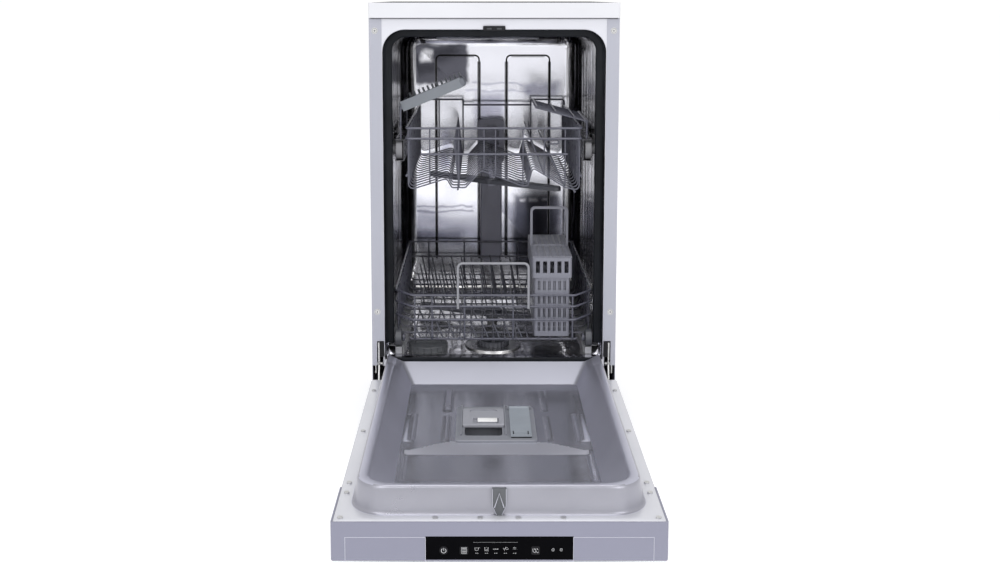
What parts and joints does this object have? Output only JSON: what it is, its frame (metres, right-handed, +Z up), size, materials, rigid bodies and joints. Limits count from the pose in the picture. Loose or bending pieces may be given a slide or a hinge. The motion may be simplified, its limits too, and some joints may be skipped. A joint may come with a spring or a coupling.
{
  "type": "slimline dishwasher",
  "caption": "Slimline free-standing dishwasher with its door lowered: pressed liner with dispenser, steel tub, spray arms, and wire baskets that roll out.",
  "frame": {"origin": "middle of the footprint of the machine with its door lowered, on the floor", "axes": "+X to the right seen from the front, +Y from the lowered door towards the rear panel, +Z up"},
  "size_m": [0.448, 1.1642, 0.845],
  "materials": {
    "steel_sheet": "bright satin",
    "polished_steel": "bright rolled",
    "panel_silver": "fine satin",
    "zinc": "zinc plated",
    "zinc_back": "galvanised",
    "worktop_laminate": "laminated board",
    "silver_plastic": "silver moulding",
    "fascia_silver": "silver moulding",
    "window_black": "gloss black",
    "button_black": "gloss black",
    "latch_grey": "dark grey",
    "black_plastic": "black",
    "base_black": "black moulding",
    "pump_grey": "dark grey",
    "white_plastic": "white",
    "dispenser_grey": "light grey",
    "lid_grey": "light grey",
    "gasket_grey": "soft rubber",
    "hose_grey": "hose",
    "rack_wire": "nylon-coated wire",
    "rack_tine": "nylon-coated wire",
    "handle_grey": "light grey",
    "wheel_grey": "light grey",
    "arm_grey": "dark grey",
    "pipe_grey": "grey",
    "shelf_grey": "light grey",
    "basket_grey": "dark grey",
    "counterweight_stone": "cast concrete",
    "filter_steel": "perforated",
    "spring_steel": "drawn"
  },
  "bodies": {
    "cabinet": {"worktop_board": "worktop_laminate", "worktop_frame": "silver_plastic", "left_side_panel": "panel_silver", "right_side_panel": "panel_silver", "back_panel": "zinc_back", "base_tray": "base_black", "plinth_panel": "base_black", "rear_feet": "black_plastic", "tub": "polished_steel", "tub_gasket": "gasket_grey", "side_panel_screws": "zinc", "door_striker": "black_plastic", "hinge_brackets": "zinc", "hinge_covers": "black_plastic", "hinge_springs": "spring_steel", "sump": "pump_grey", "circulation_pump": "pump_grey", "drain_pump": "pump_grey", "water_softener": "white_plastic", "inlet_valve": "white_plastic", "internal_hoses": "hose_grey", "counterweight": "counterweight_stone", "riser_duct": "pipe_grey", "wheel_axles": "wheel_grey", "rack_tracks": "steel_sheet", "fine_filter": "filter_steel"},
    "door": {"door_outer_panel": "panel_silver", "control_fascia": "fascia_silver", "display_window": "window_black", "inner_liner": "polished_steel", "door_screws": "zinc", "door_latch": "latch_grey", "hinge_arms": "zinc", "dispenser_housing": "dispenser_grey"},
    "detergent_lid": {"detergent_lid": "lid_grey"},
    "rinse_aid_flap": {"rinse_aid_flap": "lid_grey"},
    "power_button": {"power_button": "button_black"},
    "programme_button": {"programme_button": "button_black"},
    "half_load_button": {"half_load_button": "button_black"},
    "upper_rack": {"upper_rack": "rack_wire", "upper_rails": "steel_sheet", "upper_feed_pipe": "pipe_grey"},
    "upper_spray_arm": {"upper_spray_arm": "arm_grey"},
    "left_cup_shelf": {"left_cup_shelf": "shelf_grey"},
    "right_cup_shelf": {"right_cup_shelf": "rack_wire"},
    "rail_wheels_front": {"rail_wheels_front": "wheel_grey"},
    "rail_wheels_rear": {"rail_wheels_rear": "wheel_grey"},
    "lower_rack": {"lower_rack": "rack_wire", "lower_rack_tines": "rack_tine", "lower_rack_handle": "handle_grey"},
    "lower_wheels_front": {"lower_wheels_front": "wheel_grey"},
    "lower_wheels_rear": {"lower_wheels_rear": "wheel_grey"},
    "cutlery_basket": {"cutlery_basket": "basket_grey"},
    "basket_lid_front": {"basket_lid_front": "basket_grey"},
    "basket_lid_rear": {"basket_lid_rear": "basket_grey"},
    "lower_spray_arm": {"lower_spray_arm": "arm_grey"},
    "coarse_filter": {"coarse_filter": "lid_grey"},
    "salt_cap": {"salt_cap": "white_plastic"},
    "front_foot_left": {"front_foot_left": "black_plastic"},
    "front_foot_right": {"front_foot_right": "black_plastic"}
  },
  "joints": [
    {"name": "door_hinge", "type": "hinge", "parent": "cabinet", "child": "door", "pos_m": [0, 0.052, 0.18], "axis": [1, 0, 0], "range_deg": [-90, 0], "deforming": ["hinge_springs"]},
    {"name": "upper_rack_slide", "type": "slide", "parent": "cabinet", "child": "upper_rack", "axis": [0, -1, 0], "range_m": [0, 0.3]},
    {"name": "lower_rack_slide", "type": "slide", "parent": "cabinet", "child": "lower_rack", "axis": [0, -1, 0], "range_m": [0, 0.45]},
    {"name": "rail_wheels_front_spin", "type": "hinge", "parent": "cabinet", "child": "rail_wheels_front", "pos_m": [0, 0.102, 0.574], "axis": [1, 0, 0], "continuous": true},
    {"name": "rail_wheels_rear_spin", "type": "hinge", "parent": "cabinet", "child": "rail_wheels_rear", "pos_m": [0, 0.19, 0.574], "axis": [1, 0, 0], "continuous": true},
    {"name": "lower_wheels_front_spin", "type": "hinge", "parent": "lower_rack", "child": "lower_wheels_front", "pos_m": [0, 0.088, 0.21945], "axis": [1, 0, 0], "continuous": true},
    {"name": "lower_wheels_rear_spin", "type": "hinge", "parent": "lower_rack", "child": "lower_wheels_rear", "pos_m": [0, 0.466, 0.21945], "axis": [1, 0, 0], "continuous": true},
    {"name": "upper_spray_arm_spin", "type": "hinge", "parent": "upper_rack", "child": "upper_spray_arm", "pos_m": [0, 0.302, 0.48], "axis": [0, 0, 1], "continuous": true},
    {"name": "lower_spray_arm_spin", "type": "hinge", "parent": "cabinet", "child": "lower_spray_arm", "pos_m": [0, 0.302, 0.204], "axis": [0, 0, 1], "continuous": true},
    {"name": "detergent_lid_slide", "type": "slide", "parent": "door", "child": "detergent_lid", "axis": [0, -1, 0], "range_m": [0, 0.049]},
    {"name": "rinse_aid_flap_hinge", "type": "hinge", "parent": "door", "child": "rinse_aid_flap", "pos_m": [0.04, -0.151, 0.1676], "axis": [1, 0, 0], "range_deg": [-80, 0]},
    {"name": "power_button_press", "type": "slide", "parent": "door", "child": "power_button", "axis": [0, 1, 0], "range_m": [0, 0.0012], "stiffness_N_per_m": 800},
    {"name": "programme_button_press", "type": "slide", "parent": "door", "child": "programme_button", "axis": [0, 1, 0], "range_m": [0, 0.0012], "stiffness_N_per_m": 800},
    {"name": "half_load_button_press", "type": "slide", "parent": "door", "child": "half_load_button", "axis": [0, 1, 0], "range_m": [0, 0.0012], "stiffness_N_per_m": 800},
    {"name": "left_cup_shelf_hinge", "type": "hinge", "parent": "upper_rack", "child": "left_cup_shelf", "pos_m": [-0.172, 0.184, 0.652], "axis": [0, -1, 0], "range_deg": [-22, 62]},
    {"name": "right_cup_shelf_hinge", "type": "hinge", "parent": "upper_rack", "child": "right_cup_shelf", "pos_m": [0.172, 0.185, 0.626], "axis": [0, 1, 0], "range_deg": [-14, 70]},
    {"name": "cutlery_basket_lift", "type": "slide", "parent": "lower_rack", "child": "cutlery_basket", "axis": [0, 0, 1], "range_m": [0, 0.018]},
    {"name": "basket_lid_front_hinge", "type": "hinge", "parent": "cutlery_basket", "child": "basket_lid_front", "pos_m": [0.108, 0.1604, 0.3787], "axis": [-1, 0, 0], "range_deg": [0, 57]},
    {"name": "basket_lid_rear_hinge", "type": "hinge", "parent": "cutlery_basket", "child": "basket_lid_rear", "pos_m": [0.108, 0.1696, 0.3787], "axis": [1, 0, 0], "range_deg": [0, 57]},
    {"name": "coarse_filter_twist", "type": "hinge", "parent": "cabinet", "child": "coarse_filter", "pos_m": [0, 0.145, 0.19], "axis": [0, 0, 1], "range_deg": [0, 60]},
    {"name": "salt_cap_twist", "type": "hinge", "parent": "cabinet", "child": "salt_cap", "pos_m": [-0.124, 0.122, 0.19], "axis": [0, 0, 1], "range_deg": [0, 150]},
    {"name": "front_foot_left_screw", "type": "hinge", "parent": "cabinet", "child": "front_foot_left", "pos_m": [-0.19, 0.1, 0.02], "axis": [0, 0, 1], "range_deg": [0, 720]},
    {"name": "front_foot_right_screw", "type": "hinge", "parent": "cabinet", "child": "front_foot_right", "pos_m": [0.19, 0.1, 0.02], "axis": [0, 0, 1], "range_deg": [0, 720]}
  ],
  "couplings": [
    {"joint": "rail_wheels_front_spin", "follows": "upper_rack_slide", "rad_per_m": 54.054},
    {"joint": "rail_wheels_rear_spin", "follows": "upper_rack_slide", "rad_per_m": 54.054},
    {"joint": "lower_wheels_front_spin", "follows": "lower_rack_slide", "rad_per_m": 62.5},
    {"joint": "lower_wheels_rear_spin", "follows": "lower_rack_slide", "rad_per_m": 62.5}
  ]
}
